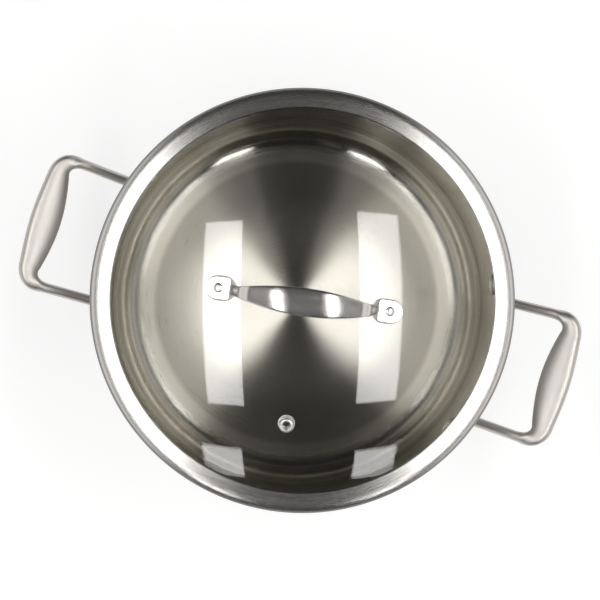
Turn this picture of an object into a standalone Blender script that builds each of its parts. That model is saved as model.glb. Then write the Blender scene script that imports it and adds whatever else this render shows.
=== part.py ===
"""A stainless steel stock pot with a domed glass lid.

The pot is a drawn shell with a sandwich base and two riveted loop handles. The lid is a tempered glass
dome held in a folded steel band, with a strap handle and a steam vent. Units are metres and +Z is up.
The origin is the centre of the pot's underside, and +X runs through the middle of one side handle.
"""

import math

import bmesh
import bpy
from mathutils import Matrix, Vector

MM = 0.001
GAP = 0.3 * MM  # free space left between pieces that touch
SEGMENTS = 60  # facets round the pot and its lid

# Pot shell
INNER_RADIUS = 130 * MM
WALL = 1.0 * MM
CORNER_RADIUS = 26 * MM
FLOOR_Z = 7.2 * MM
RIM_Z = 162 * MM
LIP_HEIGHT = 4.5 * MM
LIP_REACH = 3.0 * MM
OUTER_RADIUS = INNER_RADIUS + WALL

# Sandwich base
CAP_THICKNESS = 0.6 * MM
CAP_RADIUS = 108.5 * MM
CAP_CORNER = 3.5 * MM
CORE_TOP_Z = FLOOR_Z - WALL - GAP
CORE_BOTTOM_Z = CAP_THICKNESS + GAP
CORE_RADIUS = CAP_RADIUS - CAP_THICKNESS - 2 * GAP
CORE_CHAMFER = 2.2 * MM

# Side handles
RIVET_ANGLE = math.radians(22.2)  # of each rivet from the handle's middle, round the pot
RIVET_Z = 104 * MM
PAD_THICKNESS = 3.0 * MM
PAD_HEIGHT = 20 * MM
PAD_HALF_LENGTH = 10 * MM
LEG_Y = 41.0 * MM
LEG_SPREAD = 1.3 * MM  # how much further apart the legs are at the grip
LEG_WIDTH = 6.7 * MM
LEG_DEPTH = 8.0 * MM
ROOT_BEND = 6.5 * MM
GRIP_X = 173.7 * MM
GRIP_Z = 128 * MM
GRIP_BOW = 1.7 * MM  # how much further out the grip's line lies beside the legs
GRIP_BEND = 11 * MM
GRIP_WIDTH = 20.4 * MM
GRIP_TAPER = 51 * MM  # distance along the grip over which its width falls by a factor of e
GRIP_THICKNESS = 7.4 * MM
GRIP_TILT = math.radians(20)
TWIST_END = 40 * MM  # from the grip's middle, where the leg has become the grip
TWIST_LENGTH = 13 * MM

# Side handle rivets
RIVET_SHANK_RADIUS = 3.0 * MM
RIVET_HEAD_RADIUS = 6.8 * MM
RIVET_HEAD_HEIGHT = 3.4 * MM
RIVET_TAIL_RADIUS = 4.8 * MM
RIVET_TAIL_HEIGHT = 1.8 * MM

# Lid glass, a dome of even thickness
LID_TURN = math.radians(9.6)  # how far the lid is turned on the pot
GLASS_RADIUS = 127.2 * MM
GLASS_THICKNESS = 4.0 * MM
DOME_RADIUS = 359 * MM
DOME_TOP_Z = RIM_Z + 27.2 * MM

# Lid band, a folded strip
BAND_RADIUS = 134 * MM
BAND_INNER_RADIUS = 120.6 * MM
BAND_SHEET = 0.6 * MM
BAND_CURVE_WIDTH = 9.4 * MM  # of the rounded shoulder, seen from above
BAND_CURVE_HEIGHT = 5.4 * MM
BAND_SIDE_HEIGHT = 1.4 * MM  # from the lip to where the shoulder starts
SKIRT_RADIUS = 129.3 * MM
SKIRT_DEPTH = 4.2 * MM
FOLD_GAP = 0.4 * MM  # between the skirt and the strip folded back inside it
GLASS_SHELF = 4.5 * MM  # width of the fold that lies under the glass's edge
SEAL_WIDTH = 1.9 * MM
SEAL_HEIGHT = 2.0 * MM

# Lid handle and what holds it
TAB_X = 53 * MM  # of each rivet from the lid's middle
TAB_LENGTH = 15 * MM
TAB_WIDTH = 14 * MM
TAB_CORNER = 1.6 * MM
TAB_THICKNESS = 1.6 * MM
TAB_END_BEYOND_RIVET = 7.8 * MM
STRAP_FOOT = 1.5 * MM  # from the tab's shoulder to the corner where the strap turns up
STRAP_RISE = 36 * MM
STRAP_WIDTH = 17.2 * MM
STRAP_TAPER = 55.2 * MM  # half the length over which the strap's curved sides would meet
STRAP_THICKNESS = 4.0 * MM
STRAP_LEAN = math.radians(3.5)  # towards the vent
NECK_WIDTH = 6.6 * MM
SHOULDER_X = 38 * MM
CROWN_SLOPE = math.radians(18)
CROWN_BEND = 100 * MM
SHOULDER_BEND = 10 * MM
FOOT_BEND = 2.6 * MM
LID_RIVET_RADIUS = 2.0 * MM
LID_RIVET_HEAD = 3.15 * MM
GASKET_THICKNESS = 1.2 * MM
GASKET_WIDTH = 15.6 * MM
GASKET_OUTWARD = 8.2 * MM
GASKET_INWARD = 11.1 * MM
INNER_GASKET_RADIUS = 8.0 * MM
WASHER_THICKNESS = 0.8 * MM
WASHER_RADIUS = 7.0 * MM
LID_RIVET_HEAD_HEIGHT = 1.6 * MM
LID_RIVET_TAIL = 3.6 * MM
LID_RIVET_TAIL_HEIGHT = 1.4 * MM
GLASS_HOLE_RADIUS = 3.0 * MM
RING_HOLE_RADIUS = LID_RIVET_RADIUS + GAP

# Steam vent
VENT_X = 78.5 * MM
VENT_FLANGE_RADIUS = 4.6 * MM
VENT_BORE_RADIUS = 2.55 * MM
VENT_TUBE_RADIUS = 3.1 * MM
VENT_HOLE_RADIUS = VENT_TUBE_RADIUS + 1.5 * GAP
VENT_WASHER_RADIUS = 5.4 * MM
VENT_WASHER_THICKNESS = 0.6 * MM
VENT_CROWN = 1.5 * MM  # height of the eyelet above the glass

STEEL_BRUSHED = ("steel_brushed", (0.62, 0.60, 0.56), 0.34, 1.0)
STEEL_SATIN = ("steel_satin", (0.70, 0.67, 0.63), 0.28, 1.0)
STEEL_POLISHED = ("steel_polished", (0.80, 0.79, 0.77), 0.12, 1.0)
ALUMINIUM = ("aluminium_core", (0.78, 0.79, 0.80), 0.45, 1.0)
GLASS = ("tempered_glass", (0.80, 0.84, 0.82), 0.03, 0.0)
SILICONE = ("clear_silicone", (0.82, 0.82, 0.80), 0.40, 0.0)


def clear_scene():
    for obj in list(bpy.data.objects):
        bpy.data.objects.remove(obj)


def collection_named(name):
    made = bpy.data.collections.new(name)
    bpy.context.scene.collection.children.link(made)
    return made


def material_named(look):
    """The Principled material of one look, made the first time it is asked for."""
    name, colour, roughness, metallic = look
    material = bpy.data.materials.get(name)
    if material is None:
        material = bpy.data.materials.new(name)
        material.use_nodes = True
        shader = material.node_tree.nodes["Principled BSDF"]
        shader.inputs["Base Color"].default_value = (*colour, 1)
        shader.inputs["Roughness"].default_value = roughness
        shader.inputs["Metallic"].default_value = metallic
        if look is GLASS:
            shader.inputs["Transmission Weight"].default_value = 1
    return material


def add_object(name, mesh, look, place=None, parent=None):
    """Puts a mesh into the pot's collection as a named piece."""
    mesh.materials.append(material_named(look))
    obj = bpy.data.objects.new(name, mesh)
    PIECES.objects.link(obj)
    obj.parent = parent
    if place is not None:
        obj.matrix_basis = place
    return obj


def arc(centre, radius, start, end, steps):
    """Points of an arc in a plane, with angles in degrees."""
    angles = [math.radians(start + (end - start) * i / steps) for i in range(steps + 1)]
    return [(centre[0] + radius * math.cos(a), centre[1] + radius * math.sin(a)) for a in angles]


def profile_mesh(name, points, closed):
    """A profile in the XZ plane, as edges, for a Screw modifier to turn round Z."""
    mesh = bpy.data.meshes.new(name)
    count = len(points)
    edges = [(i, i + 1) for i in range(count - 1)]
    if closed:
        edges.append((count - 1, 0))
    mesh.from_pydata([(r, 0, z) for r, z in points], edges, [])
    return mesh


def turned(name, points, look, closed=False, segments=SEGMENTS, sheet=None, place=None, parent=None):
    """A turned piece. The profile runs down its outer side. A sheet's thickness goes inwards from it."""
    obj = add_object(name, profile_mesh(name, points, closed), look, place, parent)
    screw = obj.modifiers.new("Turn", "SCREW")
    screw.steps = segments
    screw.render_steps = segments
    screw.use_merge_vertices = True
    screw.merge_threshold = 0.01 * MM
    screw.use_smooth_shade = True
    if sheet is not None:
        solidify = obj.modifiers.new("Sheet", "SOLIDIFY")
        solidify.thickness = sheet
        solidify.offset = -1
        solidify.use_even_offset = True
    return obj


def drill(obj, radius, length, place):
    """Cuts a round hole. The cutter is centred on its place and points along its Z."""
    mesh = bpy.data.meshes.new(obj.name + "_hole")
    shape = bmesh.new()
    bmesh.ops.create_cone(
        shape, cap_ends=True, segments=20, radius1=radius, radius2=radius, depth=length
    )
    shape.to_mesh(mesh)
    shape.free()
    cutter = bpy.data.objects.new(mesh.name, mesh)
    CUTTERS.objects.link(cutter)
    cutter.matrix_basis = place
    cutter.hide_render = True
    cutter.display_type = "WIRE"
    boolean = obj.modifiers.new("Hole", "BOOLEAN")
    boolean.operation = "DIFFERENCE"
    boolean.object = cutter


def smooth_step(t):
    t = min(max(t, 0), 1)
    return t * t * (3 - 2 * t)


def between(a, b, t):
    return a + (b - a) * t


def rounded_line(corners, bends, step):
    """A plane line through the corners, with an arc of its own radius at each inner one."""
    points = [Vector(corners[0])]
    for i in range(1, len(corners) - 1):
        here = Vector(corners[i])
        back = (Vector(corners[i - 1]) - here).normalized()
        on = (Vector(corners[i + 1]) - here).normalized()
        turn = math.pi - back.angle(on)
        reach = bends[i - 1] * math.tan(turn / 2)
        start, end = here + back * reach, here + on * reach
        centre = here + (back + on).normalized() * bends[i - 1] / math.cos(turn / 2)
        steps = max(3, round(bends[i - 1] * turn / step))
        first = start - centre
        sign = math.copysign(1, first.x * (end - centre).y - first.y * (end - centre).x)
        for k in range(steps + 1):
            angle = sign * turn * k / steps
            spin = Matrix.Rotation(angle, 2)
            points.append(centre + spin @ first)
    points.append(Vector(corners[-1]))
    return points


def spaced(points, step):
    """The same line with extra points on its long straight runs."""
    out = [points[0]]
    for a, b in zip(points, points[1:]):
        count = max(1, round((b - a).length / step))
        out += [a.lerp(b, k / count) for k in range(1, count + 1)]
    return out


def loft(name, sections, look, place=None, parent=None):
    """A closed skin over sections of equally many points, with a flat cap at each end."""
    shape = bmesh.new()
    rings = [[shape.verts.new(p) for p in section] for section in sections]
    count = len(rings[0])
    for ring, after in zip(rings, rings[1:]):
        for i in range(count):
            j = (i + 1) % count
            shape.faces.new((ring[i], ring[j], after[j], after[i]))
    shape.faces.new(rings[0][::-1])
    shape.faces.new(rings[-1])
    bmesh.ops.recalc_face_normals(shape, faces=shape.faces)
    mesh = bpy.data.meshes.new(name)
    shape.to_mesh(mesh)
    shape.free()
    mesh.shade_smooth()
    mesh.set_sharp_from_angle(angle=math.radians(40))
    return add_object(name, mesh, look, place, parent)


def oval(centre, wide, thin, half_width, half_thickness, squareness, count=14):
    """A section whose outline goes from an ellipse, at squareness 2, towards a rounded bar."""
    points = []
    for i in range(count):
        angle = math.tau * (i + 0.5) / count
        c, s = math.cos(angle), math.sin(angle)
        across = math.copysign(abs(c) ** (2 / squareness), c) * half_width
        through = math.copysign(abs(s) ** (2 / squareness), s) * half_thickness
        points.append(centre + wide * across + thin * through)
    return points


def rim_profile():
    """The lip's inner face, from the wall out and up to its edge, as a quarter of an ellipse."""
    steps = 3
    points = []
    for i in range(steps + 1):
        angle = math.pi / 2 * i / steps
        r = INNER_RADIUS + LIP_REACH * (1 - math.cos(angle))
        points.append((r, RIM_Z - LIP_HEIGHT * (1 - math.sin(angle))))
    return points


def make_pot_body():
    """The drawn shell: floor, corner, wall and lip, modelled by its inner face."""
    corner = (INNER_RADIUS - CORNER_RADIUS, FLOOR_Z + CORNER_RADIUS)
    inner = [(0, FLOOR_Z)] + arc(corner, CORNER_RADIUS, -90, 0, 6) + rim_profile()
    body = turned("pot_body", inner, STEEL_BRUSHED, sheet=WALL)
    for side in (0, math.pi):
        for sign in (1, -1):
            drill(body, RIVET_SHANK_RADIUS + GAP, 12 * MM, rivet_place(side + sign * RIVET_ANGLE))
    return body


def rivet_place(angle):
    """A frame on the wall at a side handle's rivet, with Z pointing out of the pot."""
    turn = Matrix.Rotation(angle, 4, "Z")
    out = Matrix.Translation((OUTER_RADIUS, 0, RIVET_Z)) @ Matrix.Rotation(math.pi / 2, 4, "Y")
    return turn @ out


def make_base():
    """The aluminium heat-spreading disc and the steel cap that encloses it."""
    core = [
        (0, CORE_TOP_Z),
        (CORE_RADIUS, CORE_TOP_Z),
        (CORE_RADIUS, CORE_BOTTOM_Z + CORE_CHAMFER),
        (CORE_RADIUS - CORE_CHAMFER, CORE_BOTTOM_Z),
        (0, CORE_BOTTOM_Z),
    ]
    turned("base_core", core, ALUMINIUM)
    corner = (CAP_RADIUS - CAP_CORNER, CAP_CORNER)
    cap = [(CAP_RADIUS, FLOOR_Z - WALL)] + arc(corner, CAP_CORNER, 0, -90, 4) + [(0, 0)]
    turned("base_cap", cap, STEEL_BRUSHED, sheet=CAP_THICKNESS)


def handle_line():
    """The middle line of half a side handle, from its pad's free end to the middle of its grip."""
    radius = OUTER_RADIUS + GAP + PAD_THICKNESS / 2
    reach = PAD_HALF_LENGTH / radius
    root = math.asin((LEG_Y + 2 * MM) / radius)
    pad = []
    steps = 9
    for i in range(steps + 1):
        angle = between(RIVET_ANGLE + reach, root + 0.035, i / steps)
        pad.append(Vector((radius * math.cos(angle), radius * math.sin(angle))))
    corners = [
        pad[-1],
        Vector((radius * math.cos(root) + 0.6 * MM, LEG_Y)),
        Vector((GRIP_X, LEG_Y + LEG_SPREAD)),
        Vector((GRIP_X, 0)),
    ]
    rest = spaced(rounded_line(corners, [ROOT_BEND / 2, GRIP_BEND], 2.5 * MM), 4 * MM)
    line = pad + rest[1:]
    low, high = radius * math.cos(root), GRIP_X
    points = []
    for p in line:
        rise = smooth_step((p.x - low) / (high - low))
        bow = GRIP_BOW * (p.y / LEG_Y) ** 2 * smooth_step((rise - 0.7) / 0.3)
        points.append(Vector((p.x + bow, p.y, between(RIVET_Z, GRIP_Z, rise))))
    return points


def handle_sections():
    """Sections of half a side handle: a flat pad on the wall, a round leg, then a wide tilted grip."""
    line = handle_line()
    travelled = [0.0]
    for a, b in zip(line, line[1:]):
        travelled.append(travelled[-1] + (b - a).length)
    pad_end = 2 * PAD_HALF_LENGTH
    sections = []
    for i, (point, s) in enumerate(zip(line, travelled)):
        along = line[min(i + 1, len(line) - 1)] - line[max(i - 1, 0)]
        if i == len(line) - 1:
            along = Vector((0, -1, 0))
        along.normalize()
        up = (Vector((0, 0, 1)) - along * along.z).normalized()
        side = along.cross(up)
        to_leg = smooth_step((s - pad_end * 0.75) / (pad_end * 0.45))
        to_middle = travelled[-1] - s
        to_grip = smooth_step(1 - (to_middle - TWIST_END) / TWIST_LENGTH)
        roll = to_grip * (math.pi / 2 + GRIP_TILT)
        wide = up * math.cos(roll) + side * math.sin(roll)
        thin = along.cross(wide)
        round_end = math.sqrt(max(0.08, 1 - (1 - min(s / PAD_HALF_LENGTH, 1)) ** 2))
        width = between(PAD_HEIGHT * round_end, LEG_DEPTH, to_leg)
        width = between(width, GRIP_WIDTH * math.exp(-((to_middle / GRIP_TAPER) ** 2)), to_grip)
        depth = between(PAD_THICKNESS, LEG_WIDTH, to_leg)
        depth = between(depth, GRIP_THICKNESS, to_grip)
        square = between(5.0, 2.3, to_leg)
        sections.append(oval(point, wide, thin, width / 2, depth / 2, square))
    return sections


def make_side_handles():
    """Two cast loops. Each is drawn as a half and its mirror image, in one skin."""
    half = handle_sections()
    other = [[Vector((p.x, -p.y, p.z)) for p in section] for section in half[-2::-1]]
    for side, angle in (("right", 0), ("left", math.pi)):
        turn = Matrix.Rotation(angle, 4, "Z")
        handle = loft(f"side_handle_{side}", half + other, STEEL_SATIN, turn)
        for letter, sign in (("a", 1), ("b", -1)):
            place = rivet_place(angle + sign * RIVET_ANGLE)
            drill(handle, RIVET_SHANK_RADIUS + GAP, 20 * MM, place)
            make_side_rivet(f"side_handle_rivet_{side}_{letter}", place)


def dome(radius, height, base, steps=5):
    """A rivet head's outline from its crown down to its edge, as a quarter of an ellipse."""
    points = []
    for i in range(steps + 1):
        angle = math.pi / 2 * i / steps
        points.append((radius * math.sin(angle), base + height * math.cos(angle)))
    return points


def make_side_rivet(name, place):
    """A rivet with its set tail outside on the pad and its domed head inside the pot."""
    outside = PAD_THICKNESS + 2 * GAP + 0.1 * MM
    inside = -(WALL + 2 * GAP)
    tail = dome(RIVET_TAIL_RADIUS, RIVET_TAIL_HEIGHT, outside)
    head = [(r, 2 * inside - z) for r, z in reversed(dome(RIVET_HEAD_RADIUS, RIVET_HEAD_HEIGHT, inside))]
    shank = [(RIVET_SHANK_RADIUS, outside), (RIVET_SHANK_RADIUS, inside)]
    turned(name, tail + shank + head, STEEL_POLISHED, segments=20, place=place)


def dome_z(r, below=0.0):
    """Height of the glass dome's outer face, or of a face so far below it, at a distance from its middle."""
    return DOME_TOP_Z - DOME_RADIUS + math.sqrt((DOME_RADIUS - below) ** 2 - r * r)


def on_glass(x, direction):
    """A frame on the glass's outer face, with Z pointing out of it and X pointing away from the middle."""
    slope = math.asin(x / DOME_RADIUS)
    spot = Matrix.Translation((x, 0, dome_z(x))) @ Matrix.Rotation(slope, 4, "Y")
    return Matrix.Rotation(direction, 4, "Z") @ spot


def make_glass(lid):
    """The glass dome with a hole for each handle rivet and one for the vent."""
    steps = 6
    radii = [GLASS_RADIUS * i / steps for i in range(steps + 1)]
    upper = [(r, dome_z(r)) for r in radii]
    lower = [(r, dome_z(r, GLASS_THICKNESS)) for r in reversed(radii)]
    glass = turned("lid_glass", upper + lower, GLASS, parent=lid)
    turn = Matrix.Rotation(LID_TURN, 4, "Z")
    for direction in (0, math.pi):
        drill(glass, GLASS_HOLE_RADIUS, 20 * MM, turn @ on_glass(TAB_X, direction))
    drill(glass, VENT_HOLE_RADIUS, 20 * MM, turn @ on_glass(VENT_X, -math.pi / 2))


def make_band(lid):
    """The folded strip: it covers the glass's edge, rests on the pot's lip and hangs a skirt inside it."""
    half = BAND_SHEET / 2
    under = GAP + BAND_SHEET
    top = [(BAND_INNER_RADIUS, dome_z(BAND_INNER_RADIUS) + under)]
    shoulder = (BAND_RADIUS - BAND_CURVE_WIDTH, RIM_Z + BAND_SIDE_HEIGHT)
    for i in range(5):
        angle = math.radians(between(76, 0, i / 4))
        r = shoulder[0] + BAND_CURVE_WIDTH * math.cos(angle)
        top.append((r, shoulder[1] + BAND_CURVE_HEIGHT * math.sin(angle)))
    flange_z = RIM_Z + GAP
    flange = [
        (BAND_RADIUS - 0.2 * MM, flange_z + half),
        (BAND_RADIUS - 0.8 * MM, flange_z),
        (SKIRT_RADIUS + 0.5 * MM, flange_z),
        (SKIRT_RADIUS, flange_z - 0.5 * MM),
    ]
    low = RIM_Z - SKIRT_DEPTH
    fold = SKIRT_RADIUS - 2 * BAND_SHEET - FOLD_GAP
    shelf = fold - GLASS_SHELF
    skirt = [
        (SKIRT_RADIUS, low + 0.6 * MM),
        (SKIRT_RADIUS - 0.3 * MM, low),
        (fold + 0.3 * MM, low),
        (fold, low + 0.6 * MM),
        (fold, dome_z(GLASS_RADIUS, GLASS_THICKNESS) - under),
        (shelf, dome_z(shelf, GLASS_THICKNESS) - under),
    ]
    turned("lid_band", top + flange + skirt, STEEL_BRUSHED, sheet=BAND_SHEET, parent=lid)
    inner, low = GLASS_RADIUS + GAP, RIM_Z + BAND_SIDE_HEIGHT
    ring = rectangle(inner, inner + SEAL_WIDTH, low, low + SEAL_HEIGHT)
    turned("lid_edge_seal", ring, SILICONE, closed=True, parent=lid)


def rectangle(inner, outer, low, high):
    """A ring's section, running down its outer side."""
    return [(inner, high), (outer, high), (outer, low), (inner, low)]


def tab_outline():
    """The tab's outline as its distance from the tip and its half width, round end first."""
    half = TAB_WIDTH / 2
    outline = []
    for angle in (0.2, 0.45, 0.75, 1.1, math.pi / 2):
        outline.append((half * (1 - math.cos(angle)), half * math.sin(angle)))
    for angle in (0, 0.8, 1.3):
        distance = TAB_LENGTH - TAB_CORNER * (1 - math.sin(angle))
        outline.append((distance, half - TAB_CORNER * (1 - math.cos(angle))))
    return outline


def strap_sections():
    """Sections of half the lid handle, from its tab's round end to the middle of its arch."""
    slope = math.asin(TAB_X / DOME_RADIUS)
    lift = GAP + GASKET_THICKNESS + GAP + TAB_THICKNESS / 2
    rivet = Vector((TAB_X, dome_z(TAB_X))) + Vector((math.sin(slope), math.cos(slope))) * lift
    outward = Vector((math.cos(slope), -math.sin(slope)))
    tip = rivet + outward * TAB_END_BEYOND_RIVET
    foot = tip - outward * (TAB_LENGTH + STRAP_FOOT)
    crown_z = rivet.y + STRAP_RISE + CROWN_BEND * (1 / math.cos(CROWN_SLOPE) - 1) - STRAP_THICKNESS / 2
    shoulder = Vector((SHOULDER_X, crown_z - SHOULDER_X * math.tan(CROWN_SLOPE)))
    mirrored = Vector((-shoulder.x, shoulder.y))
    corners = [tip - outward * (TAB_LENGTH + 0.2 * MM), foot, shoulder, Vector((0, crown_z)), mirrored]
    bent = rounded_line(corners, [FOOT_BEND, SHOULDER_BEND, CROWN_BEND], 2.5 * MM)
    rising = spaced([p for p in bent if p.x > 0.4 * MM], 5 * MM)
    places = [(tip - outward * distance, half, 0.0) for distance, half in tab_outline()]
    for point in [*rising, Vector((0, rising[-1].y))]:
        lens = STRAP_WIDTH / 2 * math.cos(math.pi / 2 * point.x / STRAP_TAPER)
        steepness = smooth_step((point.y - foot.y) / (5 * MM))
        places.append((point, max(NECK_WIDTH / 2, lens), steepness))
    sections = []
    for i, (point, half, steepness) in enumerate(places):
        along = places[min(i + 1, len(places) - 1)][0] - places[max(i - 1, 0)][0]
        if i == len(places) - 1:
            along = Vector((-1, 0))
        along.normalize()
        depth = between(TAB_THICKNESS, STRAP_THICKNESS, steepness)
        lean = -max(0, point.y - foot.y) * math.tan(STRAP_LEAN)
        centre = Vector((point.x, lean, point.y))
        thin = Vector((-along.y, 0, along.x))
        square = between(6.0, 3.0, steepness)
        sections.append(oval(centre, Vector((0, 1, 0)), thin, half, depth / 2, square))
    return sections


def make_lid_handle(lid):
    """The strap handle, with its rivets and the rings above and below the glass at each end."""
    half = strap_sections()
    other = [[Vector((-p.x, p.y, p.z)) for p in section] for section in half[-2::-1]]
    handle = loft("lid_handle", half + other, STEEL_SATIN, parent=lid)
    turn = Matrix.Rotation(LID_TURN, 4, "Z")
    for letter, direction in (("a", 0), ("b", math.pi)):
        place = on_glass(TAB_X, direction)
        drill(handle, RING_HOLE_RADIUS, 12 * MM, turn @ place)
        gasket_high = GAP + GASKET_THICKNESS
        tab_top = gasket_high + GAP + TAB_THICKNESS
        inner_high = -(GLASS_THICKNESS + 1.5 * GAP)
        washer_high = inner_high - GASKET_THICKNESS - GAP
        tail_high = washer_high - WASHER_THICKNESS - GAP
        low, high = (gasket_outline(z) for z in (GAP, gasket_high))
        gasket = loft(f"lid_handle_gasket_{letter}", [low, high], SILICONE, place, lid)
        drill(gasket, RING_HOLE_RADIUS, 12 * MM, turn @ place)
        add_ring(f"lid_inner_gasket_{letter}", INNER_GASKET_RADIUS, inner_high,
                 GASKET_THICKNESS, SILICONE, place, lid)
        add_ring(f"lid_inner_washer_{letter}", WASHER_RADIUS, washer_high,
                 WASHER_THICKNESS, STEEL_POLISHED, place, lid)
        head = dome(LID_RIVET_HEAD, LID_RIVET_HEAD_HEIGHT, tab_top + GAP)
        shank = [(LID_RIVET_RADIUS, tab_top + GAP), (LID_RIVET_RADIUS, tail_high)]
        tail_low = tail_high - LID_RIVET_TAIL_HEIGHT
        tail = [(LID_RIVET_TAIL, tail_high), (LID_RIVET_TAIL - 0.4 * MM, tail_low + GAP), (0, tail_low)]
        turned(f"lid_handle_rivet_{letter}", head + shank + tail, STEEL_POLISHED,
               segments=20, place=place, parent=lid)


def gasket_outline(z):
    """The outer gasket's outline: straight sides and round ends, longer towards the lid's middle."""
    radius = GASKET_WIDTH / 2
    outer = arc((GASKET_OUTWARD - radius, 0), radius, -90, 90, 10)
    inner = arc((radius - GASKET_INWARD, 0), radius, 90, 270, 10)
    return [Vector((x, y, z)) for x, y in outer + inner]


def add_ring(name, radius, high, thickness, look, place, lid, hole=RING_HOLE_RADIUS):
    """A flat ring whose top face is at a height above the glass's outer face."""
    section = rectangle(hole, radius, high - thickness, high)
    turned(name, section, look, closed=True, segments=28, place=place, parent=lid)


def make_vent(lid):
    """A flared eyelet through the glass, with a washer under its inner flare."""
    place = on_glass(VENT_X, -math.pi / 2)
    washer_high = -(GLASS_THICKNESS + 1.5 * GAP)
    flare_high = washer_high - VENT_WASHER_THICKNESS - GAP
    section = [
        (VENT_BORE_RADIUS, VENT_CROWN - 0.4 * MM),
        (VENT_BORE_RADIUS + 0.5 * MM, VENT_CROWN),
        (VENT_FLANGE_RADIUS - 1.0 * MM, VENT_CROWN),
        (VENT_FLANGE_RADIUS, 0.8 * MM),
        (VENT_FLANGE_RADIUS, GAP),
        (VENT_TUBE_RADIUS, GAP),
        (VENT_TUBE_RADIUS, flare_high),
        (VENT_FLANGE_RADIUS, flare_high),
        (VENT_FLANGE_RADIUS, flare_high - 0.5 * MM),
        (VENT_BORE_RADIUS, flare_high - 0.8 * MM),
    ]
    turned("vent_eyelet", section, STEEL_POLISHED, closed=True, segments=28, place=place, parent=lid)
    add_ring("vent_washer", VENT_WASHER_RADIUS, washer_high, VENT_WASHER_THICKNESS, STEEL_POLISHED,
             place, lid, hole=VENT_TUBE_RADIUS + GAP)


def make_lid():
    """The lid's pieces hang from an empty on the pot's axis, at the lip, about which the lid turns."""
    lid = bpy.data.objects.new("lid_axis", None)
    PIECES.objects.link(lid)
    turn = Matrix.Rotation(LID_TURN, 4, "Z")
    lid.matrix_basis = turn
    make_glass(lid)
    make_band(lid)
    make_lid_handle(lid)
    make_vent(lid)


clear_scene()
PIECES = collection_named("stock_pot")
CUTTERS = collection_named("cutters")
CUTTERS.hide_render = True
make_pot_body()
make_base()
make_side_handles()
make_lid()
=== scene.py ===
"""The looks of the stock pot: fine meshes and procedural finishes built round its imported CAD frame.

Every piece is in metres in the frame's own axes: +Z is up, the origin is the centre of the pot's
underside, and +X runs through the middle of the right-hand side handle.
"""

import math

import bmesh
import bpy
from mathutils import Matrix, Vector


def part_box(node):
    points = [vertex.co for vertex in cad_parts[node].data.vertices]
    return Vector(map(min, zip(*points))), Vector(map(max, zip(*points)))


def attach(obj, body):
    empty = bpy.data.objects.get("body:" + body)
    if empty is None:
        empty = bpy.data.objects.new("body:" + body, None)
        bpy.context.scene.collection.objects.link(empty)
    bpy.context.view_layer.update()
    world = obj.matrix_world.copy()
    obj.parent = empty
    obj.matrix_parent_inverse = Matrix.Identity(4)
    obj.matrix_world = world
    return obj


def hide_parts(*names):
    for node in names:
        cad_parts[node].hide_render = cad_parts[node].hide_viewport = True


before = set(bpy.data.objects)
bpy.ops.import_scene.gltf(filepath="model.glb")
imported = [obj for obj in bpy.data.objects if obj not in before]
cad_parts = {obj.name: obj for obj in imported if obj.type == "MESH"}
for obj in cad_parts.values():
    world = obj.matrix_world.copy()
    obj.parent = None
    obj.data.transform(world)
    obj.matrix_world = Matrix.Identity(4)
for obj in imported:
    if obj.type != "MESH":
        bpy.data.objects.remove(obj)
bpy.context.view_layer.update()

MM = 0.001
ROUND = 240  # facets round the pot and its lid
SMALL_ROUND = 48  # facets round a rivet or ring

# Pot shell
INNER_RADIUS = 130 * MM
WALL = 1.0 * MM
CORNER_RADIUS = 26 * MM
FLOOR_Z = 7.2 * MM
RIM_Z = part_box("pot_body")[1].z
LIP_HEIGHT = 4.5 * MM
LIP_REACH = 3.0 * MM
OUTER_RADIUS = INNER_RADIUS + WALL

# Sandwich base
CAP_THICKNESS = 0.6 * MM
CAP_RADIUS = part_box("base_cap")[1].x
CAP_CORNER = 3.5 * MM

# Side handles
RIVET_ANGLE = math.radians(22.2)
RIVET_Z = 104 * MM
PAD_THICKNESS = 3.0 * MM
PAD_HEIGHT = 20 * MM
PAD_HALF_LENGTH = 10 * MM
LEG_Y = 41.0 * MM
LEG_SPREAD = 1.3 * MM
LEG_WIDTH = 6.7 * MM
LEG_DEPTH = 8.0 * MM
ROOT_BEND = 6.5 * MM
GRIP_X = 173.7 * MM
GRIP_Z = 128 * MM
GRIP_BOW = 1.7 * MM
GRIP_BEND = 11 * MM
GRIP_WIDTH = 20.4 * MM
GRIP_TAPER = 51 * MM
GRIP_THICKNESS = 7.4 * MM
GRIP_TILT = math.radians(20)
TWIST_END = 40 * MM
TWIST_LENGTH = 13 * MM
TOUCH = 0.03 * MM  # the hair of room left between pieces that touch

# Rivets of the side handles
RIVET_SHANK_RADIUS = 3.0 * MM
RIVET_HEAD_RADIUS = 6.8 * MM
RIVET_HEAD_HEIGHT = 3.4 * MM
RIVET_TAIL_RADIUS = 4.8 * MM
RIVET_TAIL_HEIGHT = 1.8 * MM

# Lid
GAP = 0.3 * MM
LID_TURN = math.radians(9.6)
GLASS_RADIUS = 127.2 * MM
GLASS_THICKNESS = 4.0 * MM
DOME_RADIUS = 359 * MM
DOME_TOP_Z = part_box("lid_glass")[1].z
BAND_RADIUS = 134 * MM
BAND_INNER_RADIUS = 120.6 * MM
BAND_SHEET = 0.6 * MM
BAND_CURVE_WIDTH = 9.4 * MM
BAND_CURVE_HEIGHT = 5.4 * MM
BAND_SIDE_HEIGHT = 1.4 * MM
BAND_FULLNESS = 2.4  # of the shoulder's curve, where 2 is an ellipse
SKIRT_RADIUS = 129.3 * MM
SKIRT_DEPTH = 4.2 * MM
FOLD_GAP = 0.4 * MM
GLASS_SHELF = 4.5 * MM

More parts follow.
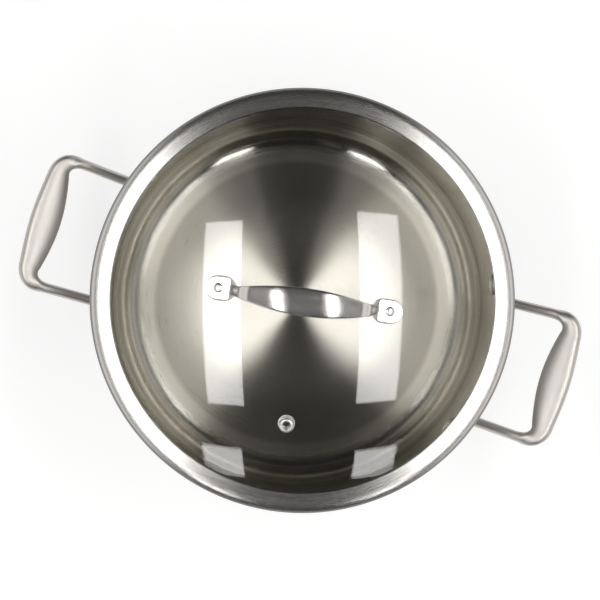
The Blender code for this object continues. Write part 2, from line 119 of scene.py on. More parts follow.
# Lid handle
TAB_X = 53 * MM
TAB_LENGTH = 15 * MM
TAB_WIDTH = 14 * MM
TAB_CORNER = 1.6 * MM
TAB_THICKNESS = 1.6 * MM
TAB_END_BEYOND_RIVET = 7.8 * MM
STRAP_FOOT = 1.5 * MM
STRAP_RISE = 36 * MM
STRAP_WIDTH = 17.2 * MM
STRAP_TAPER = 55.2 * MM
STRAP_THICKNESS = 4.0 * MM
STRAP_LEAN = math.radians(3.5)
STRAP_CROWN_RADIUS = 28 * MM  # of the strap's top across its width
NECK_WIDTH = 6.6 * MM
SHOULDER_X = 38 * MM
CROWN_SLOPE = math.radians(18)
CROWN_BEND = 100 * MM  # sets how far the slopes would meet above the crown
FLAT_BEND = 50 * MM  # radius from the crown's flat middle to its slope
SHOULDER_BEND = 10 * MM
FOOT_BEND = 2.6 * MM
LID_RIVET_RADIUS = 2.0 * MM
LID_RIVET_HEAD = 3.15 * MM
LID_RIVET_HEAD_HEIGHT = 1.2 * MM
LID_RIVET_TAIL = 3.6 * MM
LID_RIVET_TAIL_HEIGHT = 1.4 * MM
GASKET_THICKNESS = 1.2 * MM
GASKET_WIDTH = 15.6 * MM
GASKET_OUTWARD = 8.2 * MM
GASKET_INWARD = 11.1 * MM
INNER_GASKET_RADIUS = 8.0 * MM
WASHER_THICKNESS = 0.8 * MM
WASHER_RADIUS = 7.0 * MM
GLASS_HOLE_RADIUS = 3.0 * MM
RING_HOLE_RADIUS = LID_RIVET_RADIUS + GAP

# Steam vent
VENT_X = 78.5 * MM
VENT_FLANGE_RADIUS = 4.6 * MM
VENT_BORE_RADIUS = 2.55 * MM
VENT_TUBE_RADIUS = 3.1 * MM
VENT_HOLE_RADIUS = VENT_TUBE_RADIUS + 1.5 * GAP
VENT_WASHER_RADIUS = 5.4 * MM
VENT_WASHER_THICKNESS = 0.6 * MM
VENT_CROWN = 1.5 * MM

# Finishes
AXIS_CORE = 0.01 * MM  # radius inside which the rings' brushing has no direction
WALL_CLIMB = 0.83  # how closely the brushed rings follow each other up the wall, against the floor's
COOLER = (0.96, 0.98, 1.06)  # the outside's tint against the inside's
FACE_ON_MIRROR = 0.031  # the share of light that each face of the glass mirrors, seen straight on
GRAZING_MIRROR = 0.965  # what is added to that share along the face

# Picture
VIEW_TURN = math.radians(17.5)  # the right-hand handle points this far below the picture's horizontal
PICTURE_RIGHT = Vector((math.cos(VIEW_TURN), math.sin(VIEW_TURN), 0))
PICTURE_UP = Vector((-math.sin(VIEW_TURN), math.cos(VIEW_TURN), 0))
CAMERA_LENS = 104.7
CAMERA_SENSOR = 36
CAMERA_ABOVE_RIM = 1.1
STRIP_RADIANCE = 7.2
FRONT_RADIANCE = 6.5
LIGHT_HEIGHT = 1.3
ROOM_GLOW = 0.78
ROOM_DARK = 0.012
FLOOR_GLOW = 0.69


# ---------------------------------------------------------------- materials


class Nodes:
    """A short way to write the node tree of a material or of the world."""

    def __init__(self, owner):
        owner.use_nodes = True
        self.owner = owner
        self.tree = owner.node_tree

    def feed(self, socket, value):
        """Links a socket to another's output, or sets it to a plain value."""
        if isinstance(value, bpy.types.NodeSocket):
            self.tree.links.new(value, socket)
        else:
            socket.default_value = value

    def add(self, kind, inputs=(), **settings):
        """Adds a node with its settings and inputs, and returns its outputs."""
        node = self.tree.nodes.new(kind)
        for key, value in settings.items():
            setattr(node, key, value)
        for key, value in dict(inputs).items():
            self.feed(node.inputs[key], value)
        return node.outputs

    def maths(self, operation, *values):
        return self.add("ShaderNodeMath", dict(enumerate(values)), operation=operation)[0]

    def times(self, colour, factor):
        """Multiplies two colours or vectors, channel by channel."""
        return self.add("ShaderNodeVectorMath", {0: colour, 1: factor}, operation="MULTIPLY")[0]

    def noise(self, vector, scale=1.0, detail=2.0, roughness=0.5, distortion=0.0):
        inputs = {
            "Vector": vector,
            "Scale": scale,
            "Detail": detail,
            "Roughness": roughness,
            "Distortion": distortion,
        }
        return self.add("ShaderNodeTexNoise", inputs)["Fac"]

    def between(self, value, low, high):
        """Stretches a 0 to 1 value to run from low to high."""
        return self.add("ShaderNodeMapRange", {"Value": value, "To Min": low, "To Max": high})[0]

    def ramp(self, value, start, end, low=0.0, high=1.0):
        """A number that eases from low to high as the value goes from start to end."""
        inputs = {"Value": value, "From Min": start, "From Max": end, "To Min": low, "To Max": high}
        return self.add("ShaderNodeMapRange", inputs, interpolation_type="SMOOTHSTEP")[0]

    def blend(self, factor, a, b):
        return self.add("ShaderNodeMix", {"Factor": factor, "A": a, "B": b}, data_type="RGBA")["Result"]

    def bump(self, height, strength, distance):
        inputs = {"Height": height, "Strength": strength, "Distance": distance}
        return self.add("ShaderNodeBump", inputs)[0]

    def place(self):
        """The piece's own coordinates, which are the frame's."""
        return self.add("ShaderNodeTexCoord")["Object"]

    def stretched_place(self, scale):
        """Coordinates multiplied by their own number on each axis."""
        return self.add("ShaderNodeMapping", {"Vector": self.place(), "Scale": scale})[0]

    def split(self):
        return self.add("ShaderNodeSeparateXYZ", {"Vector": self.place()})

    def length(self, a, b):
        """The length of a vector with two parts."""
        return self.maths("SQRT", self.maths("MULTIPLY_ADD", a, a, self.maths("MULTIPLY", b, b)))

    def from_axis(self):
        """The distance from the Z axis."""
        split = self.split()
        return self.length(split["X"], split["Y"])

    def ring_ramp(self, start, end, low=0.0, high=1.0):
        """A number that eases from low to high between two distances from the Z axis."""
        return self.ramp(self.from_axis(), start, end, low, high)

    def ring_place(self, across, around):
        """Coordinates that run slowly round the Z axis and fast across the rings and up the wall."""
        split = self.split()
        radius = self.maths("MAXIMUM", self.from_axis(), AXIS_CORE)
        climb = self.maths("MULTIPLY_ADD", split["Z"], WALL_CLIMB, radius)
        inputs = {
            "X": self.maths("MULTIPLY", self.maths("DIVIDE", split["X"], radius), around),
            "Y": self.maths("MULTIPLY", self.maths("DIVIDE", split["Y"], radius), around),
            "Z": self.maths("MULTIPLY", climb, across),
        }
        return self.add("ShaderNodeCombineXYZ", inputs)[0]


def material_nodes(name):
    return Nodes(bpy.data.materials.new(name))


def shade(nodes, colour, roughness, normal=None, metallic=1.0, **plain):
    """Feeds the Principled shader. The plain values are constants on its own sockets."""
    sockets = nodes.tree.nodes["Principled BSDF"].inputs
    nodes.feed(sockets["Base Color"], colour)
    nodes.feed(sockets["Roughness"], roughness)
    sockets["Metallic"].default_value = metallic
    if normal is not None:
        nodes.feed(sockets["Normal"], normal)
    for key, value in plain.items():
        sockets[key.replace("_", " ")].default_value = value
    return nodes.owner


def ring_brushed(name, light, dark, roughness, anisotropy, shade_and_tone, lines, broad, bump):
    """Steel brushed in rings round the Z axis: fine lines, a share of broader ones, and faint stains.

    The roughness is a number, or a function of the nodes for steel that isn't equally rough all over.
    The last function gives how much of its brightness the steel keeps at each place: painted shade, and on
    the pot's outside also its darker brushed tone.
    """
    nodes = material_nodes(name)
    fine = nodes.noise(nodes.ring_place(lines, 3.0), 1.0, 3.0, 0.6)
    wide = nodes.noise(nodes.ring_place(lines / 9, 1.4), 1.0, 2.0, 0.5)
    stain = nodes.noise(nodes.place(), 14.0, 4.0, 0.55)
    brushing = nodes.maths("MULTIPLY_ADD", fine, 1 - broad, nodes.maths("MULTIPLY", wide, broad))
    tone = nodes.maths("MULTIPLY_ADD", brushing, 0.75, nodes.maths("MULTIPLY", stain, 0.25))
    level = roughness(nodes) if callable(roughness) else roughness
    rough = nodes.maths("ADD", nodes.between(brushing, -0.05, 0.05), level)
    rough = nodes.maths("ADD", rough, nodes.between(stain, -0.015, 0.015))
    tangent = nodes.add("ShaderNodeTangent", direction_type="RADIAL", axis="Z")[0]
    nodes.feed(nodes.tree.nodes["Principled BSDF"].inputs["Tangent"], tangent)
    # the painted shade from the given function darkens the colour here
    colour = nodes.times(nodes.blend(tone, (*dark, 1), (*light, 1)), shade_and_tone(nodes))
    return shade(nodes, colour, rough, nodes.bump(brushing, bump, 0.02 * MM),
                 Anisotropic=anisotropy, Anisotropic_Rotation=0.25)


def outside_of_pot(nodes):
    """0 on the shell's inner face and 1 on its outer face and on the base, which are a wall further out."""
    across = nodes.maths("SUBTRACT", nodes.from_axis(), INNER_RADIUS - CORNER_RADIUS)
    down = nodes.maths("SUBTRACT", FLOOR_Z + CORNER_RADIUS, nodes.split()["Z"])
    reach = nodes.length(nodes.maths("MAXIMUM", across, 0.0), nodes.maths("MAXIMUM", down, 0.0))
    return nodes.ramp(reach, CORNER_RADIUS + 0.3 * WALL, CORNER_RADIUS + 0.7 * WALL)


def pot_shade_and_brushing(nodes):
    """The floor carries painted shade in a ring towards its edge, where the lid's band keeps the lamps off,
    and is back to full brightness at the corner; the outside is darker, cooler and streaked with its
    brushing.
    """
    # painted shade: the floor's colour falls to 0.68 from 50 to 84 mm out, and the corner term brings it
    # back up before the fillet
    floor_shade = nodes.ring_ramp(50 * MM, 84 * MM, 1.0, 0.68)
    corner = nodes.ring_ramp(99 * MM, INNER_RADIUS - CORNER_RADIUS, 0.0, 0.32)
    streaks = nodes.noise(nodes.ring_place(1200.0, 3.0), 1.0, 4.0, 0.6)
    brushed = nodes.times(nodes.maths("MULTIPLY_ADD", streaks, 0.45, 0.36), COOLER)
    return nodes.blend(outside_of_pot(nodes), nodes.maths("ADD", floor_shade, corner), brushed)


def pot_roughness(nodes):
    """The floor is brushed most coarsely, the outside less, and the corner and the wall's inside least."""
    inside = nodes.ramp(nodes.split()["Z"], FLOOR_Z + 0.1 * MM, FLOOR_Z + 3 * MM, 0.29, 0.12)
    return nodes.maths("MULTIPLY_ADD", outside_of_pot(nodes), 0.08, inside)


def pot_steel():
    return ring_brushed("pot_steel", (0.80, 0.775, 0.71), (0.73, 0.70, 0.63), pot_roughness,
                        anisotropy=1.0, shade_and_tone=pot_shade_and_brushing, lines=3200.0, broad=0.06, bump=0.02)


def band_painted_shade(nodes):
    """Painted shade: the band's colour is darkened in the seam beside the glass and, more softly, down its
    outer side, where it stands in for a darker reflection.
    """
    seam_shade = nodes.ring_ramp(BAND_INNER_RADIUS + 0.3 * MM, BAND_INNER_RADIUS + 1.0 * MM, 0.2, 1.0)
    # painted shade down the outer side, which darkens the colour where that face would mirror the bright
    # floor
    side = nodes.ring_ramp(BAND_RADIUS - 2.4 * MM, BAND_RADIUS - 0.6 * MM, 1.0, 0.30)
    return nodes.maths("MULTIPLY", seam_shade, side)


def band_steel():
    return ring_brushed("band_steel", (0.86, 0.835, 0.80), (0.50, 0.48, 0.46), 0.27,
                        anisotropy=0.7, shade_and_tone=band_painted_shade, lines=2200.0, broad=0.4, bump=0.45)


def satin_steel(name, light, dark, roughness, grain_scale, bump):
    """Cast or stamped steel, softly polished: a fine directional grain, small dents and handling marks."""
    nodes = material_nodes(name)
    grain = nodes.noise(nodes.stretched_place(grain_scale), 1.0, 3.0, 0.6)
    cloud = nodes.noise(nodes.place(), 90.0, 4.0, 0.6)
    marks = nodes.noise(nodes.place(), 420.0, 3.0, 0.5)
    tone = nodes.maths("ADD", nodes.maths("MULTIPLY", grain, 0.5), nodes.maths("MULTIPLY", cloud, 0.5))
    colour = nodes.blend(tone, (*dark, 1), (*light, 1))
    rough = nodes.between(grain, roughness - 0.04, roughness + 0.05)
    rough = nodes.maths("ADD", rough, nodes.between(marks, -0.03, 0.03))
    height = nodes.maths("ADD", nodes.maths("MULTIPLY", grain, 0.6), nodes.maths("MULTIPLY", marks, 0.4))
    return shade(nodes, colour, rough, nodes.bump(height, bump, 0.03 * MM))


def cast_steel():
    return satin_steel("cast_steel", (0.66, 0.63, 0.595), (0.55, 0.515, 0.48), 0.45,
                       grain_scale=(700.0, 160.0, 700.0), bump=0.08)


def strap_steel():
    return satin_steel("strap_steel", (0.74, 0.715, 0.69), (0.62, 0.595, 0.57), 0.21,
                       grain_scale=(90.0, 1500.0, 700.0), bump=0.30)


def polished_steel():
    """Rivet, washer and eyelet steel: bright, with tiny scratches."""
    nodes = material_nodes("polished_steel")
    scratch = nodes.noise(nodes.stretched_place((900.0, 160.0, 900.0)), 1.0, 3.0, 0.6)
    colour = nodes.blend(scratch, (0.72, 0.71, 0.69, 1), (0.86, 0.85, 0.83, 1))
    rough = nodes.between(scratch, 0.26, 0.40)
    return shade(nodes, colour, rough, nodes.bump(scratch, 0.15, 0.02 * MM))


def aluminium():
    nodes = material_nodes("aluminium_core")
    grain = nodes.noise(nodes.stretched_place((60.0, 1400.0, 300.0)), 1.0, 3.0, 0.6)
    colour = nodes.blend(grain, (0.70, 0.71, 0.72, 1), (0.82, 0.83, 0.84, 1))
    return shade(nodes, colour, nodes.between(grain, 0.38, 0.52), nodes.bump(grain, 0.2, 0.02 * MM))


def silicone():
    nodes = material_nodes("clear_silicone")
    cloud = nodes.noise(nodes.place(), 260.0, 3.0, 0.5)
    colour = nodes.blend(cloud, (0.80, 0.80, 0.77, 1), (0.90, 0.90, 0.88, 1))
    return shade(nodes, colour, nodes.between(cloud, 0.30, 0.42), nodes.bump(cloud, 0.1, 0.03 * MM),
                 metallic=0.0, Transmission_Weight=0.45, IOR=1.41)


def clear_glass():
    """The lid's glass: what is behind shows straight through each face, and each face mirrors a little."""
    nodes = material_nodes("tempered_glass")
    facing = nodes.add("ShaderNodeLayerWeight", {"Blend": 0.5})["Facing"]
    mirror = nodes.maths("MULTIPLY_ADD", nodes.maths("POWER", facing, 5.0), GRAZING_MIRROR, FACE_ON_MIRROR)
    smear = nodes.noise(nodes.stretched_place((22.0, 30.0, 26.0)), 1.0, 5.0, 0.62, 0.4)
    rough = nodes.between(smear, 0.0, 0.03)
    clear = nodes.add("ShaderNodeBsdfTransparent", {"Color": (0.985, 0.985, 0.98, 1)})[0]
    gloss = nodes.add("ShaderNodeBsdfGlossy", {"Color": (1, 1, 1, 1), "Roughness": rough})[0]
    mixed = nodes.add("ShaderNodeMixShader", {0: mirror, 1: clear, 2: gloss})[0]
    nodes.feed(nodes.tree.nodes["Material Output"].inputs["Surface"], mixed)
    nodes.tree.nodes.remove(nodes.tree.nodes["Principled BSDF"])
    return nodes.owner


POT_STEEL = pot_steel()
BAND_STEEL = band_steel()
CAST_STEEL = cast_steel()
STRAP_STEEL = strap_steel()
POLISHED = polished_steel()
ALUMINIUM = aluminium()
SILICONE = silicone()
GLASS = clear_glass()


# ---------------------------------------------------------------- mesh tools


def add_piece(name, mesh, material, body, node, place=None):
    """Puts a mesh in the scene as a piece that rides on a body and stands for a CAD node."""
    mesh.materials.clear()
    mesh.materials.append(material)
    obj = bpy.data.objects.new(name, mesh)
    bpy.context.scene.collection.objects.link(obj)
    if place is not None:
        mesh.transform(place)
    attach(obj, body)
    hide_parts(node)
    return obj


def finish_node(node, material):
    """Gives a CAD piece that shows as it is a finish of its own."""
    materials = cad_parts[node].data.materials
    materials.clear()
    materials.append(material)


def grid_mesh(name, rings, closed_along, sharp=35):
    """A mesh over rings of equally many points. Open ends are capped, or shut if a ring is one point."""
    shape = bmesh.new()
    made = [[shape.verts.new(p) for p in ring] for ring in rings]
    pairs = list(zip(made, made[1:]))
    if closed_along:
        pairs.append((made[-1], made[0]))
    for a, b in pairs:
        count = max(len(a), len(b))
        for i in range(count):
            j = (i + 1) % count
            corners = [a[i % len(a)], a[j % len(a)], b[j % len(b)], b[i % len(b)]]
            corners = [v for k, v in enumerate(corners) if v not in corners[:k]]
            shape.faces.new(corners)
    if not closed_along:
        for ring in (made[0], made[-1]):
            if len(ring) > 2:
                shape.faces.new(ring)
    bmesh.ops.recalc_face_normals(shape, faces=shape.faces)
    mesh = bpy.data.meshes.new(name)
    shape.to_mesh(mesh)
    shape.free()
    mesh.shade_smooth()
    mesh.set_sharp_from_angle(angle=math.radians(sharp))
    return mesh


def turned_mesh(name, profile, closed=False, count=ROUND, sharp=35):
    """A profile of (radius, height) points turned round Z. A point on the axis becomes a pole."""
    rings = []
    for r, z in profile:
        if r < 1e-7:
            rings.append([(0, 0, z)])
        else:
            angles = [math.tau * i / count for i in range(count)]
            rings.append([(r * math.cos(a), r * math.sin(a), z) for a in angles])
    return grid_mesh(name, rings, closed, sharp)


def arc(centre, radius, start, end, steps):
    """Points of an arc in a plane, with angles in degrees."""
    angles = [math.radians(start + (end - start) * i / steps) for i in range(steps + 1)]
    return [(centre[0] + radius * math.cos(a), centre[1] + radius * math.sin(a)) for a in angles]


def rounded_line(corners, bends, step):
    """A plane line through the corners, with an arc of its own radius at each inner one."""
    points = [Vector(corners[0])]
    for i in range(1, len(corners) - 1):
        here = Vector(corners[i])
        back = (Vector(corners[i - 1]) - here).normalized()
        on = (Vector(corners[i + 1]) - here).normalized()
        turn = math.pi - back.angle(on)
        reach = bends[i - 1] * math.tan(turn / 2)
        start, end = here + back * reach, here + on * reach
        centre = here + (back + on).normalized() * bends[i - 1] / math.cos(turn / 2)
        steps = max(3, round(bends[i - 1] * turn / step))
        first = start - centre
        sign = math.copysign(1, first.x * (end - centre).y - first.y * (end - centre).x)
        for k in range(steps + 1):
            points.append(centre + Matrix.Rotation(sign * turn * k / steps, 2) @ first)
    points.append(Vector(corners[-1]))
    return points


def spaced(points, step):
    """The same line with extra points on its long straight runs."""
    out = [points[0]]
    for a, b in zip(points, points[1:]):
        count = max(1, round((b - a).length / step))
        out += [a.lerp(b, k / count) for k in range(1, count + 1)]
    return out


def sheet_section(path, thickness):
    """A bent sheet's closed section. The path is its outer side, and the thickness goes to its right."""
    path = [Vector(p) for p in path]
    normals = []
    for i, here in enumerate(path):
        ahead = path[min(i + 1, len(path) - 1)] - here
        behind = here - path[max(i - 1, 0)]
        along = (ahead.normalized() + behind.normalized()).normalized()
        normals.append(Vector((along.y, -along.x)))
    inner = [p + n * thickness for p, n in zip(path, normals)]

    def rounded_end(end, across):
        middle = end + across * thickness / 2
        return [middle + Matrix.Rotation(math.pi * k / 6, 2) @ (end - middle) for k in range(1, 6)]

    section = path + rounded_end(path[-1], normals[-1]) + inner[::-1] + rounded_end(inner[0], -normals[0])
    return [(p.x, p.y) for p in section]


def between(a, b, t):
    return a + (b - a) * t


def smooth_step(t):
    t = min(max(t, 0), 1)
    return t * t * (3 - 2 * t)


def oval(centre, wide, thin, half_width, half_thickness, squareness, count=28):
    """A section whose outline goes from an ellipse, at squareness 2, towards a rounded bar."""
    points = []
    for i in range(count):
        angle = math.tau * (i + 0.5) / count
        c, s = math.cos(angle), math.sin(angle)
        across = math.copysign(abs(c) ** (2 / squareness), c) * half_width
        through = math.copysign(abs(s) ** (2 / squareness), s) * half_thickness
        points.append(centre + wide * across + thin * through)
    return points


def drill(obj, radius, length, place):
    """Cuts a round hole along Z of its place, and applies the cut."""
    mesh = bpy.data.meshes.new("hole")
    shape = bmesh.new()
    bmesh.ops.create_cone(shape, cap_ends=True, segments=40, radius1=radius, radius2=radius, depth=length)
    shape.to_mesh(mesh)
    shape.free()
    cutter = bpy.data.objects.new("hole", mesh)
    bpy.context.scene.collection.objects.link(cutter)
    cutter.matrix_world = place
    boolean = obj.modifiers.new("Hole", "BOOLEAN")
    boolean.operation = "DIFFERENCE"
    boolean.object = cutter
    apply_modifiers(obj)
    bpy.data.objects.remove(cutter)
    bpy.data.meshes.remove(mesh)


def apply_modifiers(obj):
    graph = bpy.context.evaluated_depsgraph_get()
    mesh = bpy.data.meshes.new_from_object(obj.evaluated_get(graph), depsgraph=graph)
    obj.modifiers.clear()
    obj.data = mesh


# ---------------------------------------------------------------- pot


def lip_profile(steps):
    """The lip's inner face, from the wall out and up to its edge, as a quarter of an ellipse."""
    points = []
    for i in range(steps + 1):
        angle = math.pi / 2 * i / steps
        r = INNER_RADIUS + LIP_REACH * (1 - math.cos(angle))
        points.append((r, RIM_Z - LIP_HEIGHT * (1 - math.sin(angle))))
    return points


def even(start, end, steps):
    """Points between two ends, without the ends."""
    a, b = Vector(start), Vector(end)
    return [tuple(a.lerp(b, i / steps)) for i in range(1, steps)]


def make_pot_body():
    """The shell: floor, corner, wall and lip in one sheet, with the side handles' rivet holes."""
    corner = (INNER_RADIUS - CORNER_RADIUS, FLOOR_Z + CORNER_RADIUS)
    floor_end = (corner[0], FLOOR_Z)
    floor = [(0, FLOOR_Z), (1 * MM, FLOOR_Z)] + even((1 * MM, FLOOR_Z), floor_end, 16)
    bend = arc(corner, CORNER_RADIUS, -90, 0, 16)
    lip = lip_profile(10)
    wall = even(bend[-1], lip[0], 14)
    inner = floor + bend + wall + lip
    section = [p for p in sheet_section(inner, WALL) if p[0] > 0]
    profile = [(0, FLOOR_Z)] + section + [(0, FLOOR_Z - WALL)]
    mesh = turned_mesh("pot_body", profile)
    body = add_piece("pot_shell", mesh, POT_STEEL, "pot", "pot_body")
    for side in (0, math.pi):
        for sign in (1, -1):
            drill(body, RIVET_SHANK_RADIUS + TOUCH, 12 * MM, rivet_place(side + sign * RIVET_ANGLE))


def rivet_place(angle):
    """A frame on the wall at a side handle's rivet, with Z pointing out of the pot."""
    out = Matrix.Translation((OUTER_RADIUS, 0, RIVET_Z)) @ Matrix.Rotation(math.pi / 2, 4, "Y")
    return Matrix.Rotation(angle, 4, "Z") @ out


def make_base():
    """The base's steel cap, which shows, and its aluminium core between the cap and the pot's floor."""
    corner = (CAP_RADIUS - CAP_CORNER, CAP_CORNER)
    path = [(CAP_RADIUS, FLOOR_Z - WALL)] + arc(corner, CAP_CORNER, 0, -90, 10)
    path += even(path[-1], (1 * MM, 0), 16) + [(1 * MM, 0)]
    section = sheet_section(path, CAP_THICKNESS)
    inner = [p for p in section[len(path):] if p[0] > 0.9 * MM]
    profile = [(0, 0)] + section[: len(path)][::-1] + inner[::-1] + [(0, CAP_THICKNESS)]
    mesh = turned_mesh("base_cap", profile)
    add_piece("base_disc_cap", mesh, POT_STEEL, "pot", "base_cap")
    finish_node("base_core", ALUMINIUM)


# ---------------------------------------------------------------- side handles


def handle_line():
    """The middle line of half a side handle, from its pad's free end to the middle of its grip."""
    radius = OUTER_RADIUS + GAP + PAD_THICKNESS / 2
    reach = PAD_HALF_LENGTH / radius
    root = math.asin((LEG_Y + 2 * MM) / radius)
    pad = []
    steps = 18
    for i in range(steps + 1):
        angle = between(RIVET_ANGLE + reach, root + 0.035, i / steps)
        pad.append(Vector((radius * math.cos(angle), radius * math.sin(angle))))
    corners = [
        pad[-1],
        Vector((radius * math.cos(root) + 0.6 * MM, LEG_Y)),
        Vector((GRIP_X, LEG_Y + LEG_SPREAD)),
        Vector((GRIP_X, 0)),
    ]
    rest = spaced(rounded_line(corners, [ROOT_BEND / 2, GRIP_BEND], 0.8 * MM), 1.2 * MM)
    line = pad + rest[1:]
    low, high = radius * math.cos(root), GRIP_X
    points = []
    for p in line:
        rise = smooth_step((p.x - low) / (high - low))
        bow = GRIP_BOW * (p.y / LEG_Y) ** 2 * smooth_step((rise - 0.7) / 0.3)
        points.append(Vector((p.x + bow, p.y, between(RIVET_Z, GRIP_Z, rise))))
    return points


def handle_sections():
    """Sections of half a side handle: a flat pad on the wall, a round leg, then a wide tilted grip."""
    line = handle_line()
    travelled = [0.0]
    for a, b in zip(line, line[1:]):
        travelled.append(travelled[-1] + (b - a).length)
    pad_end = 2 * PAD_HALF_LENGTH
    sections = []
    for i, (point, s) in enumerate(zip(line, travelled)):
        along = line[min(i + 1, len(line) - 1)] - line[max(i - 1, 0)]
        if i == len(line) - 1:
            along = Vector((0, -1, 0))
        along.normalize()
        up = (Vector((0, 0, 1)) - along * along.z).normalized()
        side = along.cross(up)
        to_leg = smooth_step((s - pad_end * 0.75) / (pad_end * 0.45))
        to_middle = travelled[-1] - s
        to_grip = smooth_step(1 - (to_middle - TWIST_END) / TWIST_LENGTH)
        roll = to_grip * (math.pi / 2 + GRIP_TILT)
        wide = up * math.cos(roll) + side * math.sin(roll)
        thin = along.cross(wide)
        round_end = math.sqrt(max(0.08, 1 - (1 - min(s / PAD_HALF_LENGTH, 1)) ** 2))
        width = between(PAD_HEIGHT * round_end, LEG_DEPTH, to_leg)
        width = between(width, GRIP_WIDTH * math.exp(-((to_middle / GRIP_TAPER) ** 2)), to_grip)
        depth = between(PAD_THICKNESS, LEG_WIDTH, to_leg)
        depth = between(depth, GRIP_THICKNESS, to_grip)
        square = between(5.0, 2.3, to_leg)
        sections.append(oval(point, wide, thin, width / 2, depth / 2, square))
    return sections


def make_side_handles():
    half = handle_sections()
    other = [[Vector((p.x, -p.y, p.z)) for p in section] for section in half[-2::-1]]
    for side, angle in (("right", 0), ("left", math.pi)):
        turn = Matrix.Rotation(angle, 4, "Z")
        mesh = grid_mesh(f"handle_{side}", half + other, False)
        handle = add_piece(f"cast_handle_{side}", mesh, CAST_STEEL, "pot",
                           f"side_handle_{side}", turn)
        for letter, sign in (("a", 1), ("b", -1)):
            place = rivet_place(angle + sign * RIVET_ANGLE)
            drill(handle, RIVET_SHANK_RADIUS + TOUCH, 20 * MM, place)
            make_side_rivet(f"{side}_{letter}", place)


def dome(radius, height, base, steps=12):
    """A rivet head's outline from its crown down to its edge, as a quarter of an ellipse."""
    points = []
    for i in range(steps + 1):
        angle = math.pi / 2 * i / steps
        points.append((radius * math.sin(angle), base + height * math.cos(angle)))
    return points


def make_side_rivet(which, place):
    outside = PAD_THICKNESS + GAP + TOUCH
    inside = -(WALL + GAP)
    tail = dome(RIVET_TAIL_RADIUS, RIVET_TAIL_HEIGHT, outside)
    head = [(r, 2 * inside - z) for r, z in reversed(dome(RIVET_HEAD_RADIUS, RIVET_HEAD_HEIGHT, inside))]
    shank = [(RIVET_SHANK_RADIUS, outside), (RIVET_SHANK_RADIUS, inside)]
    mesh = turned_mesh("rivet", tail + shank + head, count=SMALL_ROUND)
    add_piece(f"handle_rivet_{which}", mesh, POLISHED, "pot",
              f"side_handle_rivet_{which}", place)


# ---------------------------------------------------------------- lid


def dome_z(r, below=0.0):
    """Height of the dome's outer face, or of a face so far below it, at a distance from its middle."""
    return DOME_TOP_Z - DOME_RADIUS + math.sqrt((DOME_RADIUS - below) ** 2 - r * r)


def on_glass(x, direction):
    """A frame on the glass's outer face, with Z pointing out of it and X away from the middle."""
    slope = math.asin(x / DOME_RADIUS)
    spot = Matrix.Translation((x, 0, dome_z(x))) @ Matrix.Rotation(slope, 4, "Y")
    return Matrix.Rotation(LID_TURN + direction, 4, "Z") @ spot


def make_glass():
    steps = 40
    radii = [GLASS_RADIUS * i / steps for i in range(steps + 1)]
    upper = [(r, dome_z(r)) for r in radii]
    lower = [(r, dome_z(r, GLASS_THICKNESS)) for r in reversed(radii)]
    mesh = turned_mesh("glass", upper + lower)
    glass = add_piece("dome_glass", mesh, GLASS, "lid", "lid_glass")
    for direction in (0, math.pi):
        drill(glass, GLASS_HOLE_RADIUS, 20 * MM, on_glass(TAB_X, direction))
    drill(glass, VENT_HOLE_RADIUS, 20 * MM, on_glass(VENT_X, -math.pi / 2))
    glass.data.set_sharp_from_angle(angle=math.radians(35))


def make_band():
    under = GAP + BAND_SHEET
    path = [(BAND_INNER_RADIUS, dome_z(BAND_INNER_RADIUS) + under)]
    shoulder = (BAND_RADIUS - BAND_CURVE_WIDTH, RIM_Z + BAND_SIDE_HEIGHT)
    for i in range(33):
        angle = math.radians(between(80, 0, i / 32))
        r = shoulder[0] + BAND_CURVE_WIDTH * math.cos(angle) ** (2 / BAND_FULLNESS)
        path.append((r, shoulder[1] + BAND_CURVE_HEIGHT * math.sin(angle) ** (2 / BAND_FULLNESS)))
    flange_z = RIM_Z + GAP
    low = RIM_Z - SKIRT_DEPTH
    fold = SKIRT_RADIUS - 2 * BAND_SHEET - FOLD_GAP
    shelf = fold - GLASS_SHELF
    corners = [
        path[-1],
        (BAND_RADIUS - 0.1 * MM, flange_z),
        (SKIRT_RADIUS, flange_z),
        (SKIRT_RADIUS, low),
        (fold, low),
        (fold, dome_z(GLASS_RADIUS, GLASS_THICKNESS) - under),
        (shelf, dome_z(shelf, GLASS_THICKNESS) - under),
    ]
    bends = [0.65 * MM, 0.5 * MM, 0.78 * MM, 0.78 * MM, 0.65 * MM]
    path += [tuple(p) for p in rounded_line(corners, bends, 0.25 * MM)[1:]]
    mesh = turned_mesh("band", sheet_section(path, BAND_SHEET), closed=True)
    add_piece("rim_band", mesh, BAND_STEEL, "lid_rim", "lid_band")
    finish_node("lid_edge_seal", SILICONE)


def tab_outline():
    """The tab's outline as its distance from the tip and its half width, round end first."""
    half = TAB_WIDTH / 2
    outline = []
    for i in range(16):
        angle = between(0.08, math.pi / 2, i / 15)
        outline.append((half * (1 - math.cos(angle)), half * math.sin(angle)))
    for i in range(8):
        angle = between(0, 1.45, i / 7)
        distance = TAB_LENGTH - TAB_CORNER * (1 - math.sin(angle))
        outline.append((distance, half - TAB_CORNER * (1 - math.cos(angle))))
    return outline


